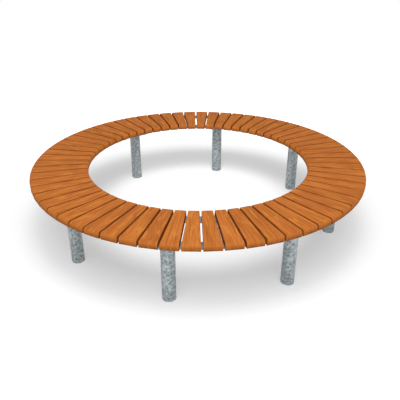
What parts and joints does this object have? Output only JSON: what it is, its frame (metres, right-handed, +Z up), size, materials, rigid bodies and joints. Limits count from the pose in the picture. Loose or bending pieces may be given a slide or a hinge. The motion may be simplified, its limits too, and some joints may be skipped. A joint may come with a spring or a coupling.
{
  "type": "tree bench",
  "caption": "Round backless bench that rings a tree: tapered hardwood slats lie radially on two rolled steel rings, carried by round galvanised tube legs.",
  "frame": {"origin": "on the ground at the centre of the tree opening", "axes": "+Z up along the ring's axis; the first leg stands on -Y and the others follow every 45 degrees towards +X"},
  "size_m": [2.0818, 2.0818, 0.445],
  "materials": {
    "hardwood": "oiled hardwood",
    "rail_steel": "hot-dip galvanised flat bar, dull",
    "galvanised_steel": "hot-dip galvanised with zinc spangle",
    "zinc_plated": "zinc plated"
  },
  "bodies": {
    "root": {"slats_1": "hardwood", "slats_2": "hardwood", "slats_3": "hardwood", "slats_4": "hardwood", "slats_5": "hardwood", "slats_6": "hardwood", "slats_7": "hardwood", "slats_8": "hardwood", "slat_screws_1": "zinc_plated", "slat_screws_2": "zinc_plated", "slat_screws_3": "zinc_plated", "slat_screws_4": "zinc_plated", "slat_screws_5": "zinc_plated", "slat_screws_6": "zinc_plated", "slat_screws_7": "zinc_plated", "slat_screws_8": "zinc_plated", "inner_rail_1": "rail_steel", "inner_rail_2": "rail_steel", "inner_rail_3": "rail_steel", "inner_rail_4": "rail_steel", "inner_rail_5": "rail_steel", "inner_rail_6": "rail_steel", "inner_rail_7": "rail_steel", "inner_rail_8": "rail_steel", "outer_rail_1": "rail_steel", "outer_rail_2": "rail_steel", "outer_rail_3": "rail_steel", "outer_rail_4": "rail_steel", "outer_rail_5": "rail_steel", "outer_rail_6": "rail_steel", "outer_rail_7": "rail_steel", "outer_rail_8": "rail_steel", "arm_1": "galvanised_steel", "arm_2": "galvanised_steel", "arm_3": "galvanised_steel", "arm_4": "galvanised_steel", "arm_5": "galvanised_steel", "arm_6": "galvanised_steel", "arm_7": "galvanised_steel", "arm_8": "galvanised_steel", "leg_1": "galvanised_steel", "leg_2": "galvanised_steel", "leg_3": "galvanised_steel", "leg_4": "galvanised_steel", "leg_5": "galvanised_steel", "leg_6": "galvanised_steel", "leg_7": "galvanised_steel", "leg_8": "galvanised_steel", "arm_welds": "galvanised_steel", "rail_bolts": "zinc_plated", "rail_washers": "zinc_plated", "rail_nuts": "zinc_plated"}
  },
  "joints": []
}
